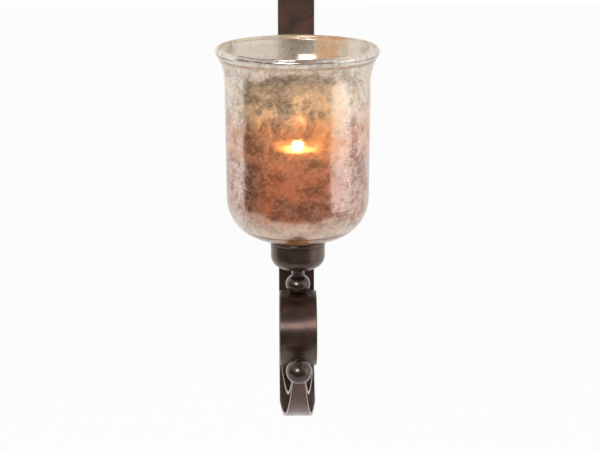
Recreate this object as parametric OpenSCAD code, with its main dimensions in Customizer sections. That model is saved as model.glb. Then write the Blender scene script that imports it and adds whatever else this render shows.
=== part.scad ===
// Torch-shaped wall sconce: two bent and drawn-out flat bars carry a turned neck and cup,
// and the cup carries a lift-off silvered glass with a pillar candle in it.
// Millimetres. The origin lies on the wall, midway between the two wall screws.
// +X runs to the right, +Y into the wall and +Z up, so the sconce reaches towards -Y.
// "Depth" is the distance from the wall. "Height" is the Z value.

/* [Bars] */
// Width of both bars
bar_w = 41; // [36:0.5:46]
// Thickness of both bars
bar_t = 3.5; // [3:0.25:4.5]
// Width of a bar at its drawn-out tip
tip_w = 12; // [10:0.5:14]
// Radius of the round eye at a clamped tip
eye_r = 7; // [6.5:0.25:8]

/* [Wall bar] */
// Height of the plain upper end
bar_top_z = 166; // [160:1:240]
// Corner radius of the plain upper end
bar_corner_r = 5; // [2:0.5:12]
// Where the hook's taper starts, in degrees round from the wall
hook_taper_at = 72; // [50:1:110]
// Distance between the two wall screws
screw_pitch = 280; // [260:1:290]
// Diameter of the wall screw holes
screw_hole_d = 5.5; // [4.5:0.25:7]

/* [Scroll bar] */
// Clear gap between the wall bar and the scroll bar's spine
spine_gap = 51.5; // [49:0.5:54]
// Outer radius of the front volute
volute_r = 42; // [40:0.5:43]
// Height of the volute's centre above the ball's centre
volute_rise = 31; // [30:0.5:36]
// How much tighter the curl's second turn is than the volute
curl_step2 = 11; // [10:0.5:13]
// How much tighter the third turn is than the second
curl_step3 = 8; // [6:0.5:10]
// How much tighter the last turn is than the third
curl_step4 = 6; // [4:0.5:8]
// How far the last turn runs, in degrees
curl_end = 35; // [10:5:60]
// Where the lower hook's taper starts, in degrees round from the spine
scroll_taper_at = 8; // [0:1:40]
// Where the volute's taper starts, in degrees below its front
curl_taper_at = 62; // [45:1:85]

/* [Finial ball] */
// Height of the ball's centre
ball_z = -315; // [-325:1:-305]
// Radius of the ball
ball_r = 14.2; // [12:0.1:16]
// Radius of the flat on which the ball seats
ball_flat_r = 5.5; // [4.5:0.25:7]
// Clear room between the volute and the head of the ball's screw
screw_room = 2; // [1:0.25:5]
// Height of the ball's centre above the wall bar's hook centre
hook_rise = 8; // [6:0.5:12]
// Height of the ball's centre above the scroll bar's hook centre
scroll_rise = 4; // [2:0.5:5]
// Shank diameter of the ball's screw
ball_screw_d = 5; // [4:0.5:6]
// Length of the screw that goes into the ball
ball_screw_in = 12; // [8:0.5:14]

/* [Stand-off] */
// Height of the stand-off above the ball's centre
standoff_rise = 7; // [5:0.5:10]
// Outer diameter of the stand-off tube
standoff_d = 14; // [12:0.5:16]
// Shank diameter of the stand-off screw
standoff_screw_d = 6; // [5:0.5:7]
// Head diameter of the countersunk stand-off screw
standoff_head_d = 11.5; // [10:0.5:13]

/* [Neck] */
// Height of the neck from the scroll to the cup
neck_h = 29; // [26:0.5:34]
// Largest radius of the bead
bead_r = 13.6; // [12:0.1:15]
// Radius of the bead's round edge
bead_edge_r = 10.6; // [9.5:0.1:11]
// Height of the bead's widest line above the scroll
bead_rise = 9.5; // [8.5:0.1:10]
// Radius of the waist
waist_r = 7; // [6.5:0.1:9]
// Radius of the collar under the cup
collar_r = 10.5; // [9:0.5:14]
// Height of the flare from the waist to the collar
collar_h = 7; // [5:0.5:9]
// Diameter of the threaded rod
rod_d = 8; // [6:0.5:10]

/* [Cup] */
// Radius of the cup's body
cup_r = 30; // [29:0.5:34]
// Height of the cup, with its lip
cup_h = 33; // [31:0.5:40]
// Radius of the cup's round lower edge
cup_edge_r = 14; // [8:0.5:15]
// Wall thickness of the cup
cup_wall = 1.8; // [1.4:0.1:2.2]
// Floor thickness of the cup
cup_floor = 2.5; // [2:0.25:4]
// How far the cup's lip stands outside its body
cup_lip_out = 2.2; // [1.5:0.1:4]
// Height of the cup's lip band
cup_lip_h = 4.6; // [3.5:0.1:6]
// Thickness of the gasket on the lip
gasket_t = 1.7; // [1.2:0.1:2.5]
// Thickness of the gasket's collar inside the cup
gasket_collar_t = 1.8; // [1.2:0.1:2.5]

/* [Glass] */
// How far the rim stands outside the body
rim_out = 9.7; // [8:0.1:13]
// Height from the glass's base to its rim
glass_h = 211.5; // [180:0.5:240]
// Radius of the straight body below the flare
body_top_r = 79.3; // [76:0.1:82]
// How much narrower the body is above its round bottom
body_draw = 1.1; // [0:0.1:3]
// Radius of the round bottom
bottom_r = 46; // [30:0.5:46]
// Wall thickness of the glass
glass_wall = 3.4; // [2.5:0.1:5]
// Thickness of the glass floor
glass_floor = 5; // [4:0.25:8]
// Angle of the flare from the vertical
flare_angle = 33; // [20:1:40]
// Radius of the outward roll under the rim
roll_r = 5.5; // [5.5:0.1:8]
// Length of the glass foot
foot_h = 18; // [12:0.5:19]

/* [Candle] */
// Radius of the candle
candle_r = 38; // [25:0.5:40]
// Height of the candle
candle_h = 96; // [70:1:150]
// Radius of the melted pool
pool_r = 29; // [15:0.5:32]
// Depth of the melted pool
pool_depth = 3; // [1:0.5:6]
// Radius of the candle's worn upper edge
candle_edge_r = 4; // [2:0.5:6]
// Diameter of the wick
wick_d = 2.4; // [1.5:0.1:3]
// Height of the wick above the pool
wick_out = 12; // [8:1:18]

/* [Fits] */
// Clearance on the radius of a bolt, screw or rod in its hole
bolt_gap = 0.25; // [0.1:0.05:0.5]
// Clearance between the glass foot and its collar
foot_gap = 0.8; // [0.5:0.1:1.2]
// Clearance under a piece that lifts off
rest_gap = 0.3; // [0.2:0.05:0.5]
// Side clearance of a piece pushed into another
push_gap = 0.1; // [0.05:0.05:0.2]

/* [Hidden] */
$fn = 96;

past = 1;                 // how far a cutter runs past what it cuts
step = 10;                // degrees between the stations of a taper

// bars
hook_z = ball_z - hook_rise;
spine_d = bar_t + spine_gap;                           // depth of the spine's back
axis_d = spine_d + volute_r;                           // depth of the volute, neck, cup and glass
ball_head_r = ball_screw_d;
ball_head_h = 2.2;
lock_washer_t = 0.8;
// depth of the volute's front just above the head of the ball's screw
above_head = volute_rise - ball_head_r;                // from there up to the volute's centre
beside_head_d = axis_d + sqrt(volute_r * volute_r - above_head * above_head);
// depth of the inner tongue's back
clamp_d = beside_head_d + screw_room + ball_head_h + lock_washer_t;
tip_d = clamp_d + 2 * bar_t;                           // depth of the outer tongue's face
hook_r = tip_d / 2;                                    // outer radius of the wall bar's hook
scroll_z = ball_z - scroll_rise;
scroll_r = (tip_d - bar_t - spine_d) / 2;              // outer radius of the scroll's lower hook
volute_z = ball_z + volute_rise;
seat_z = volute_z + volute_r;                          // where the neck sits
wall_hook = [hook_r, hook_z];
scroll_hook = [spine_d + scroll_r, scroll_z];
volute = [axis_d, volute_z];

curl_r2 = volute_r - curl_step2;
curl_r3 = curl_r2 - curl_step3;
curl_r4 = curl_r3 - curl_step4;

// The curl: each turn is [centre, outer radius, first angle, last angle] in the side view,
// and each centre lies on the line to the end of the turn before, so that the turns are tangent.
turn1 = [volute, volute_r, -curl_taper_at, -90];
turn2 = [volute - [0, curl_step2], curl_r2, -90, -180];
turn3 = [turn2[0] - [curl_step3, 0], curl_r3, -180, -270];
turn4 = [turn3[0] + [0, curl_step4], curl_r4, -270, -270 - curl_end];
curl = [turn1, turn2, turn3, turn4];

// finial ball
ball_d = tip_d + sqrt(ball_r * ball_r - ball_flat_r * ball_flat_r);

// stand-off
standoff_z = ball_z + standoff_rise;
standoff_nut_af = 10;
standoff_nut_h = 5;
standoff_washer_r = 6;
standoff_washer_t = 1;
standoff_thread_out = 1;

// neck and its rod
bead_z = seat_z + bead_rise;
bead_offset = bead_r - bead_edge_r;
cup_z = seat_z + neck_h;
waist_z = cup_z - collar_h;
// the collar's flare is centred this far outside its edge and above the waist
collar_ease = 0.5;
collar_edge = 1;
rod_r = rod_d / 2;
rod_hole_r = rod_r + bolt_gap;
rod_washer_r = 9;
rod_washer_t = 1.5;
rod_nut_af = 13;
rod_nut_h = 6.5;
rod_out = 2;
saddle_t = 2.5;                                        // thickness of the saddle washer at its centre
under_z = seat_z - bar_t - saddle_t;                   // flat underside of the saddle washer

// cup
cup_in_r = cup_r - cup_wall;
cup_lip_r = cup_r + cup_lip_out;
cup_top_z = cup_z + cup_h;
lip_edge_r = cup_lip_h / 2;
gasket_out_r = cup_in_r - push_gap;
gasket_in_r = gasket_out_r - gasket_collar_t;
gasket_collar_h = 7;

// glass
glass_z = cup_top_z + gasket_t + rest_gap;
foot_r = gasket_in_r - foot_gap;                       // radius of the glass foot inside the cup
rim_r = body_top_r + rim_out;
body_low_r = body_top_r - body_draw;
rim_z = glass_z + glass_h;
bead_wall_r = glass_wall / 2;
rim_turn = 50;                                         // angle at which the rim's roll ends
roll_mid = roll_r - bead_wall_r;
roll_c = [rim_r - roll_r, rim_z - bead_wall_r - roll_mid * sin(rim_turn)];
rim_bead = roll_c + roll_mid * [cos(rim_turn), sin(rim_turn)];
flare_r = (roll_c.x + roll_r * cos(flare_angle) - body_top_r) / (1 - cos(flare_angle));
flare_c = [body_top_r + flare_r, roll_c.y - roll_r * sin(flare_angle) - flare_r * sin(flare_angle)];
bottom_c = [body_low_r - bottom_r, glass_z + bottom_r];
floor_edge_r = bottom_r - glass_wall;                  // round edge of the glass's floor, inside
foot_wall = glass_wall;
foot_edge_r = 3;
foot_floor_z = glass_z - foot_h + foot_wall;

// candle
candle_base_r = 3;                                     // worn lower edge
// how far the candle's foot stands up on the round edge of the glass's floor
foot_past = max(0, candle_r - candle_base_r - bottom_c.x);
foot_up = floor_edge_r - sqrt(floor_edge_r * floor_edge_r - foot_past * foot_past);
candle_z = glass_z + glass_floor + foot_up + rest_gap;
candle_top_z = candle_z + candle_h;
wick_r = wick_d / 2;
clip_r = 12;
clip_t = 0.8;
clip_tube_h = 6;
clip_tube_wall = 0.8;

// Points along an arc in n steps from angle a to angle b
function arc(c, r, a, b, n = 16, from = 0) =
    [for (i = [from:n]) let (t = a + (b - a) * i / n) c + r * [cos(t), sin(t)]];
// The same arc without its first point, for an outline that is there already
function arc_on(c, r, a, b, n = 16) = arc(c, r, a, b, n, 1);
function total(v, i = 0) = i < len(v) ? v[i] + total(v, i + 1) : 0;
function span(turn) = abs(turn[3] - turn[2]);
function run(turns, k) = k > 0 ? total([for (i = [0:k - 1]) turns[i][1] * span(turns[i])]) : 0;

// Stations of a taper along some turns, from one step before it starts:
// [centre, outer radius, angle, width there]
function stations(turns) =
    let (whole = run(turns, len(turns)), first = turns[0], back = step * sign(first[2] - first[3]))
    concat([[first[0], first[1], first[2] + back, bar_w + (bar_w - tip_w) * first[1] * step / whole]],
        [for (k = [0:len(turns) - 1])
            let (t = turns[k], n = ceil(span(t) / step))
            for (i = [k == 0 ? 0 : 1:n])
                let (along = (run(turns, k) + t[1] * span(t) * i / n) / whole)
                [t[0], t[1], t[2] + (t[3] - t[2]) * i / n, bar_w + (tip_w - bar_w) * along]]);

// A side view, drawn as depth and height, made a bar of width w
module side(w) rotate([90, 0, -90]) linear_extrude(w, center = true) children();

// A round pin or hole along the depth, from depth a to depth b at height z
module pin(r, a, b, z) translate([0, -a, z]) rotate([90, 0, 0]) cylinder(h = b - a, r = r);

// A revolved profile round the upright axis of the neck, cup and glass
module turned() translate([0, -axis_d, 0]) rotate_extrude() children();

module upright(r, z, h, sides = $fn) translate([0, -axis_d, z]) cylinder(h = h, r = r, $fn = sides);

module hex(af, h) cylinder(h = h, r = af / 2 / cos(30), $fn = 6);

// Side view of a bar bent round one turn
module bend(c, r, a, b) {
    n = ceil(abs(b - a) / 45);
    intersection() {
        translate(c) difference() {
            circle(r);
            circle(r - bar_t);
        }
        polygon(concat([c], arc(c, 2 * r, a, b, n)));
    }
}

// What a smith takes off both edges of a bar, so that it draws out evenly to its tip.
// The cutter follows the bend and is a little thicker than the bar.
module drawn_out(st) {
    outside = bar_w / 2 + 3 * past;
    points = [for (s = st)
        let (out = [cos(s[2]), sin(s[2])])
        let (a = s[0] + (s[1] - bar_t - past) * out, b = s[0] + (s[1] + past) * out)
        each [[s[3] / 2, -a.x, a.y], [s[3] / 2, -b.x, b.y], [outside, -b.x, b.y], [outside, -a.x, a.y]]];
    last = 4 * (len(st) - 1);
    winds_left = st[len(st) - 1][2] < st[0][2];
    // the four sides of the cutter between two stations, split in two triangles each
    panels = [for (i = [0:len(st) - 2], j = [0:3]) let (a = 4 * i + j, b = 4 * i + (j + 1) % 4)
        each [[a, b, b + 4], [a, b + 4, a + 4]]];
    faces = concat(panels, [[2, 1, 0], [3, 2, 0], [last, last + 1, last + 2], [last, last + 2, last + 3]]);
    for (m = [0, 1])
        mirror([m, 0, 0])
            polyhedron(points, winds_left ? faces : [for (f = faces) [f[2], f[1], f[0]]], convexity = 8);
}

// A tongue that stands straight up to the ball, past the end of its hook
function tongue_end(c, r) = [[[c.x, ball_z + past], r, 360, tip_w]];

module wall_bar() color("#4a3a34") difference() {
    union() {
        difference() {
            side(bar_w) {
                translate([0, hook_z]) square([bar_t, bar_top_z - hook_z]);
                bend(wall_hook, hook_r, 180, 360);
                translate([tip_d - bar_t, hook_z]) square([bar_t, hook_rise]);
            }
            drawn_out(concat(
                stations([[wall_hook, hook_r, 180 + hook_taper_at, 360]]),
                tongue_end(wall_hook, hook_r)));
        }
        pin(eye_r, tip_d - bar_t, tip_d, ball_z);
    }
    for (m = [0, 1]) mirror([m, 0, 0]) bar_corner();
    for (z = [-1, 1] * screw_pitch / 2) pin(screw_hole_d / 2, -past, bar_t + past, z);
    pin(standoff_screw_d / 2 + bolt_gap, -past, bar_t + past, standoff_z);
    countersink(bolt_gap);
    pin(ball_screw_d / 2 + bolt_gap, tip_d - bar_t - past, tip_d + past, ball_z);
}

module bar_corner() translate([bar_w / 2 - bar_corner_r, past, bar_top_z - bar_corner_r]) rotate([90, 0, 0])
    linear_extrude(bar_t + 2 * past) difference() {
        square(bar_corner_r + past);
        circle(bar_corner_r);
    }

// The cone under the flush head of the stand-off screw
module countersink(gap) {
    depth = (standoff_head_d - standoff_screw_d) / 2;
    translate([0, 0, standoff_z]) rotate([90, 0, 0])
        cylinder(h = depth + gap, r1 = standoff_head_d / 2 + gap, r2 = standoff_screw_d / 2);
}

module scroll_bar() color("#4f3d37") difference() {
    union() {
        difference() {
            side(bar_w) {
                translate([clamp_d, scroll_z]) square([bar_t, scroll_rise]);
                bend(scroll_hook, scroll_r, 180, 360);
                translate([spine_d, scroll_z]) square([bar_t, volute_z - scroll_z]);
                bend(volute, volute_r, 180, -curl_taper_at);
                for (t = curl) bend(t[0], t[1], t[2], t[3]);
            }
            drawn_out(concat(
                stations([[scroll_hook, scroll_r, 180 + scroll_taper_at, 360]]),
                tongue_end(scroll_hook, scroll_r)));
            drawn_out(concat(stations(curl), [[turn4[0], turn4[1], turn4[3] - past, tip_w]]));
        }
        pin(eye_r, clamp_d, clamp_d + bar_t, ball_z);
    }
    pin(ball_screw_d / 2 + bolt_gap, clamp_d - past, clamp_d + bar_t + past, ball_z);
    pin(standoff_screw_d / 2 + bolt_gap, spine_d - past, spine_d + bar_t + past, standoff_z);
    upright(rod_hole_r, seat_z - bar_t - 2 * past, bar_t + 3 * past);
}

module standoff() color("#3f332f") difference() {
    pin(standoff_d / 2, bar_t, spine_d, standoff_z);
    pin(standoff_screw_d / 2 + bolt_gap, bar_t - past, spine_d + past, standoff_z);
}

module standoff_screw() color("#8d8a86") {
    end_d = spine_d + bar_t + standoff_washer_t + standoff_nut_h + standoff_thread_out;
    countersink(0);
    pin(standoff_screw_d / 2, 0, end_d, standoff_z);
}

module standoff_washer() color("#8d8a86") difference() {
    pin(standoff_washer_r, spine_d + bar_t, spine_d + bar_t + standoff_washer_t, standoff_z);
    pin(standoff_screw_d / 2 + bolt_gap, spine_d, spine_d + bar_t + 2 * past, standoff_z);
}

module standoff_nut() color("#8d8a86") {
    nut_d = spine_d + bar_t + standoff_washer_t;
    difference() {
        translate([0, -nut_d, standoff_z]) rotate([90, 0, 0]) hex(standoff_nut_af, standoff_nut_h);
        pin(standoff_screw_d / 2 + push_gap, nut_d - past, nut_d + standoff_nut_h + past, standoff_z);
    }
}

// A ball with a flat at the back and a blind hole for its screw, revolved about the hole
module finial_ball() color("#463833") translate([0, -ball_d, ball_z]) rotate([90, 0, 0]) rotate_extrude() {
    hole_r = ball_screw_d / 2 + push_gap;
    flat = ball_d - tip_d;                             // from the ball's centre to its flat
    difference() {
        intersection() {
            circle(ball_r);
            translate([0, -flat]) square([ball_r, flat + ball_r]);
        }
        translate([-past, -flat - past]) square([hole_r + past, ball_screw_in + 2 * past]);
    }
}

module ball_screw() color("#8d8a86") {
    head_d = clamp_d - lock_washer_t;
    pin(ball_screw_d / 2, head_d, tip_d + ball_screw_in, ball_z);
    intersection() {
        pin(ball_head_r, head_d - ball_head_h, head_d, ball_z);
        // a low dome: a ball whose cap is as high as the head
        dome_r = (ball_head_r * ball_head_r + ball_head_h * ball_head_h) / (2 * ball_head_h);
        translate([0, -(head_d - ball_head_h + dome_r), ball_z]) sphere(dome_r);
    }
}

module lock_washer() color("#8d8a86") difference() {
    pin(ball_head_r, clamp_d - lock_washer_t, clamp_d, ball_z);
    pin(ball_screw_d / 2 + bolt_gap, clamp_d - lock_washer_t - past, clamp_d + past, ball_z);
}

// Bead, waist and collar, bored for the rod, with a saddle that fits the top of the volute
module neck() color("#453732") difference() {
    turned() {
        translate([bead_offset, bead_z]) intersection() {
            circle(bead_edge_r);
            translate([0, -bead_edge_r]) square([bead_edge_r, 2 * bead_edge_r]);
        }
        translate([0, bead_z - bead_edge_r]) square([bead_offset, 2 * bead_edge_r]);
        translate([0, bead_z]) square([waist_r, cup_z - bead_z]);
        // the flare from the waist out to the collar
        difference() {
            translate([0, waist_z]) square([collar_r, cup_z - waist_z]);
            translate([collar_r + collar_ease, waist_z + collar_edge])
                circle(collar_r + collar_ease - waist_r);
        }
    }
    side(2 * bar_w) translate(volute) circle(volute_r);
    upright(rod_hole_r, seat_z - bead_edge_r, neck_h + 2 * bead_edge_r);
}

module saddle_washer() color("#8d8a86") difference() {
    intersection() {
        upright(rod_washer_r, under_z, saddle_t + bar_t);
        side(2 * bar_w) translate(volute) circle(volute_r - bar_t);
    }
    upright(rod_hole_r, under_z - past, saddle_t + 2 * past);
}

module rod_nut(z) color("#8d8a86") difference() {
    translate([0, -axis_d, z]) hex(rod_nut_af, rod_nut_h);
    upright(rod_r + push_gap, z - past, rod_nut_h + 2 * past);
}

module lower_nut() rod_nut(under_z - rod_nut_h);

module cup_nut() rod_nut(cup_z + cup_floor + rod_washer_t);

module threaded_rod() color("#a09c96") {
    foot_z = under_z - rod_nut_h - rod_out;
    head_z = cup_z + cup_floor + rod_washer_t + rod_nut_h + rod_out;
    upright(rod_r, foot_z, head_z - foot_z);
}

// A spun cup with a round lower edge and a rolled lip band above a fine step
module cup() color("#40342f") difference() {
    turned() difference() {
        union() {
            bowl(cup_r, cup_z, cup_edge_r, cup_top_z - cup_lip_h);
            translate([0, cup_top_z - cup_lip_h]) square([cup_lip_r - lip_edge_r, cup_lip_h]);
            translate([cup_lip_r - lip_edge_r, cup_top_z - lip_edge_r]) circle(lip_edge_r);
        }
        bowl(cup_in_r, cup_z + cup_floor, cup_edge_r - cup_wall, cup_top_z + past);
    }
    upright(rod_hole_r, cup_z - past, cup_floor + 2 * past);
}

// Half section of a round-bottomed bowl, from height z to height top
module bowl(r, z, edge, top)
    polygon(concat([[0, z]], arc([r - edge, z + edge], edge, -90, 0), [[r, top], [0, top]]));

module cup_washer() color("#8d8a86") difference() {
    upright(rod_washer_r, cup_z + cup_floor, rod_washer_t);
    upright(rod_hole_r, cup_z + cup_floor - past, rod_washer_t + 2 * past);
}

// A flanged ring: its collar hangs in the cup and its flange lies on the lip
module lip_gasket() color("#2b2826") turned() {
    translate([gasket_in_r, cup_top_z - gasket_collar_h])
        square([gasket_collar_t, gasket_collar_h]);
    translate([gasket_in_r, cup_top_z]) square([cup_lip_r - lip_edge_r - gasket_in_r, gasket_t]);
}

// Blown glass: a foot that stands in the cup, a round bottom, a straight body and a flared rim
module glass_shade() color("#d9b391", 0.6) turned() polygon(concat(
    [[0, glass_z - foot_h]],
    arc([foot_r - foot_edge_r, glass_z - foot_h + foot_edge_r], foot_edge_r, -90, 0, 6),
    [[foot_r, glass_z]],
    arc(bottom_c, bottom_r, -90, 0, 28),
    arc(flare_c, flare_r, 180, 180 - flare_angle, 10),
    arc_on(roll_c, roll_r, -flare_angle, rim_turn, 8),
    arc_on(rim_bead, bead_wall_r, rim_turn, rim_turn + 180, 8),
    arc_on(roll_c, roll_r - glass_wall, rim_turn, -flare_angle, 6),
    arc_on(flare_c, flare_r + glass_wall, 180 - flare_angle, 180, 10),
    arc([bottom_c.x, glass_z + glass_floor + floor_edge_r], floor_edge_r, 0, -90, 28),
    [[foot_r - foot_wall, glass_z + glass_floor]],
    arc([foot_r - foot_wall - foot_edge_r, foot_floor_z + foot_edge_r], foot_edge_r, 0, -90, 6),
    [[0, foot_floor_z]]));

module candle() color("#efe2c4") difference() {
    turned() polygon(concat(
        [[0, candle_z]],
        arc([candle_r - candle_base_r, candle_z + candle_base_r], candle_base_r, -90, 0, 6),
        arc([candle_r - candle_edge_r, candle_top_z - candle_edge_r], candle_edge_r, 0, 90, 6),
        arc([pool_r - pool_depth, candle_top_z], pool_depth, 0, -90, 6),
        [[0, candle_top_z - pool_depth]]));
    upright(wick_r + push_gap, candle_z - past, candle_h + 2 * past);
    upright(clip_r + push_gap, candle_z - past, clip_t + push_gap + past);
    upright(wick_r + clip_tube_wall + 2 * push_gap, candle_z - past, clip_tube_h + push_gap + past);
}

module wick() color("#3a322b") upright(wick_r, candle_z + clip_t, candle_h - clip_t - pool_depth + wick_out);

// The pressed plate that holds the wick upright in the base of the candle
module wick_clip() color("#b9b6b0") {
    upright(clip_r, candle_z, clip_t);
    difference() {
        upright(wick_r + clip_tube_wall + push_gap, candle_z, clip_tube_h);
        upright(wick_r + push_gap, candle_z + clip_t, clip_tube_h);
    }
}

wall_bar();
scroll_bar();
standoff();
standoff_screw();
standoff_washer();
standoff_nut();
finial_ball();
ball_screw();
lock_washer();
neck();
saddle_washer();
lower_nut();
threaded_rod();
cup();
cup_washer();
cup_nut();
lip_gasket();
glass_shade();
candle();
wick();
wick_clip();
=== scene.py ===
import math

import bmesh
import bpy
from mathutils import Matrix, Vector


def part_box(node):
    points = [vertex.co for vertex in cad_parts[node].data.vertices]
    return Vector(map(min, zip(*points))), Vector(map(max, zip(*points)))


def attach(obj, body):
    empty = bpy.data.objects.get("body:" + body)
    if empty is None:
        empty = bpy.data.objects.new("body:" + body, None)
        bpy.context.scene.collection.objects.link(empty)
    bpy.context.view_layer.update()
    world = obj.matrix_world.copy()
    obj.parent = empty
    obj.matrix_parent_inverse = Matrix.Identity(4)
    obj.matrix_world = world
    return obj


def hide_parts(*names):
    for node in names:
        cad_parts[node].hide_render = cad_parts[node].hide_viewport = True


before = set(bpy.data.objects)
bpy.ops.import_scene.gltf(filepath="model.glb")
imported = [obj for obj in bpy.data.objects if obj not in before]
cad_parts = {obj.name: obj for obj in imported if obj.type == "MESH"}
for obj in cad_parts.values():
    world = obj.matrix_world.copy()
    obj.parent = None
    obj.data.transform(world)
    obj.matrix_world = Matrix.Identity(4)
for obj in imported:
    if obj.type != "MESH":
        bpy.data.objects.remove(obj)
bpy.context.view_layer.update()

# A torch-shaped candle sconce. Everything is in metres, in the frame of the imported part:
# the origin is on the wall between the wall screws, -Y reaches into the room and +Z is up.
# "Depth" is the distance from the wall, so a point at depth d has y = -d.

mm = 0.001


# ---------------------------------------------------------------- camera

CAMERA_AT = (-0.0328, -2.000, 0.33325)
CAMERA_TURN = math.radians(-1.059)
CAMERA_TILT = math.radians(14.67)
CAMERA_ROLL = math.radians(-0.083)
CAMERA_LENS = 106.88
CAMERA_SENSOR = 36


def make_camera():
    data = bpy.data.cameras.new("photo_camera")
    data.sensor_width = CAMERA_SENSOR
    data.lens = CAMERA_LENS
    camera = bpy.data.objects.new("photo_camera", data)
    bpy.context.collection.objects.link(camera)
    turn = Matrix.Rotation(CAMERA_TURN, 4, "Z")
    tilt = Matrix.Rotation(math.pi / 2 - CAMERA_TILT, 4, "X")
    roll = Matrix.Rotation(CAMERA_ROLL, 4, "Z")
    camera.matrix_world = Matrix.Translation(CAMERA_AT) @ turn @ tilt @ roll
    bpy.context.scene.camera = camera


# ---------------------------------------------------------------- sizes

def size_of(node):
    low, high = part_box(node)
    return low, high, (low + high) / 2


wall_low, wall_high, _ = size_of("wall_bar")
scroll_low, scroll_high, _ = size_of("scroll_bar")
ball_low, ball_high, ball_middle = size_of("finial_ball")
cup_low, cup_high, cup_middle = size_of("cup")
glass_low, glass_high, _ = size_of("glass_shade")
candle_low, candle_high, _ = size_of("candle")
standoff_middle = size_of("standoff")[2]

bar_w = wall_high.x - wall_low.x
bar_t = 3.5 * mm
tip_w = 12 * mm
eye_r = 7 * mm
bar_edge_r = 0.8 * mm
bar_corner_r = 5 * mm
screw_hole_r = 2.75 * mm
screw_pitch = 280 * mm

axis_d = -cup_middle.y
ball_z = ball_middle.z
ball_r = (ball_high.x - ball_low.x) / 2
tip_d = -wall_low.y
hook_r = tip_d / 2
hook_z = wall_low.z + hook_r
spine_d = -scroll_high.y
clamp_d = tip_d - 2 * bar_t
scroll_r = (clamp_d + bar_t - spine_d) / 2
scroll_z = scroll_low.z + scroll_r
volute_r = axis_d - spine_d
volute_z = scroll_high.z - volute_r
seat_z = scroll_high.z

bead_r, bead_edge_r, bead_rise = 13.6 * mm, 10.6 * mm, 9.5 * mm
waist_r, collar_r, collar_h = 7 * mm, 10.5 * mm, 7 * mm
collar_band, collar_edge_r = 1.2 * mm, 0.4 * mm
COLLAR_TURN = 80
rod_hole_r = 4.25 * mm

cup_r, cup_lip_r, cup_lip_h = 30 * mm, cup_high.x, 4.6 * mm
cup_edge_r, cup_wall, cup_floor = 14 * mm, 1.8 * mm, 2.5 * mm
cup_groove = 0.35 * mm

foot_h = 18 * mm
glass_z = glass_low.z + foot_h
rim_r, rim_z = glass_high.x, glass_high.z
glass_wall, glass_floor = 3.4 * mm, 5 * mm
body_top_r = rim_r - 9.7 * mm
body_low_r = body_top_r - 1.1 * mm
bottom_r, foot_r, foot_edge_r = 46 * mm, 25.5 * mm, 3 * mm
FLARE, RIM_TURN = 33, 50
roll_r = 5.5 * mm

candle_r = candle_high.x
candle_z, candle_top = candle_low.z, candle_high.z
pool_r, pool_depth = 29 * mm, 3 * mm
pool_z = candle_top - pool_depth
flame_h, flame_r = 30 * mm, 6.5 * mm

# where each taper starts, in degrees round its own bend
HOOK_TAPER_AT = 252
SCROLL_TAPER_AT = 188
CURL_TAPER_AT = -62
CURL_STEPS = (11 * mm, 8 * mm, 6 * mm)
CURL_END = -305

# how finely the shapes are drawn: steps in a length, degrees in a bend, and the angle of a sharp edge
EYE_STEPS, CORNER_STEPS, EDGE_STEPS = 24, 6, 4
BODY_STEPS, FLAME_STEPS = 12, 32
BEND_STEP = 3
SHARP = 40


# ---------------------------------------------------------------- node helpers

class Socket:
    """An output of a node. Arithmetic on it adds Math nodes."""

    def __init__(self, nodes, socket):
        self.nodes = nodes
        self.socket = socket

    def maths(self, operation, *values):
        return self.nodes.node("ShaderNodeMath", {"operation": operation}, dict(enumerate(values)))

    def __add__(self, other):
        return self.maths("ADD", self, other)

    def __radd__(self, other):
        return self.maths("ADD", other, self)

    def __sub__(self, other):
        return self.maths("SUBTRACT", self, other)

    def __rsub__(self, other):
        return self.maths("SUBTRACT", other, self)

    def __mul__(self, other):
        return self.maths("MULTIPLY", self, other)

    def __rmul__(self, other):
        return self.maths("MULTIPLY", other, self)

    def __truediv__(self, other):
        return self.maths("DIVIDE", self, other)

    def between(self, low, high):
        """0 below low, 1 above high and a smooth rise between them. low may be the higher one."""
        return self.nodes.node(
            "ShaderNodeMapRange",
            {"interpolation_type": "SMOOTHSTEP"},
            {"Value": self, "From Min": low, "From Max": high},
        )

    def part(self, axis):
        """One of the three numbers of a vector."""
        split = self.nodes.node("ShaderNodeSeparateXYZ", {}, {0: self}, "X")
        return Socket(self.nodes, split.socket.node.outputs[axis])


class Nodes:
    """The nodes of one tree, which starts empty."""

    def __init__(self, tree):
        self.tree = tree
        self.tree.nodes.clear()

    def node(self, kind, settings, inputs, output=0):
        """Adds a node with its settings and the values or links of its sockets. Gives one output."""
        made = self.tree.nodes.new(kind)
        for key, value in settings.items():
            if key == "stops":
                self.set_stops(made.color_ramp, value)
            else:
                setattr(made, key, value)
        for key, value in inputs.items():
            if isinstance(value, Socket):
                self.tree.links.new(value.socket, made.inputs[key])
            else:
                made.inputs[key].default_value = value
        return Socket(self, made.outputs[output])

    @staticmethod
    def set_stops(ramp, stops):
        while len(ramp.elements) < len(stops):
            ramp.elements.new(1)
        for element, (at, colour) in zip(ramp.elements, stops):
            element.position = at
            element.color = (*colour, 1)

    def ramp(self, value, *stops):
        return self.node("ShaderNodeValToRGB", {"stops": stops}, {"Fac": value}, "Color")

    def shader_mix(self, factor, first, second):
        return self.node("ShaderNodeMixShader", {}, {0: factor, 1: first, 2: second})

    def seen(self, wall_side):
        """1 where the camera looks, and where shiny and clear pieces show the white wall side."""
        camera, glossy, through = (
            self.node("ShaderNodeLightPath", {}, {}, kind)
            for kind in ("Is Camera Ray", "Is Glossy Ray", "Is Transmission Ray")
        )
        shown = wall_side * glossy.maths("MAXIMUM", glossy, through)
        return camera.maths("MAXIMUM", camera, shown)


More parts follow.
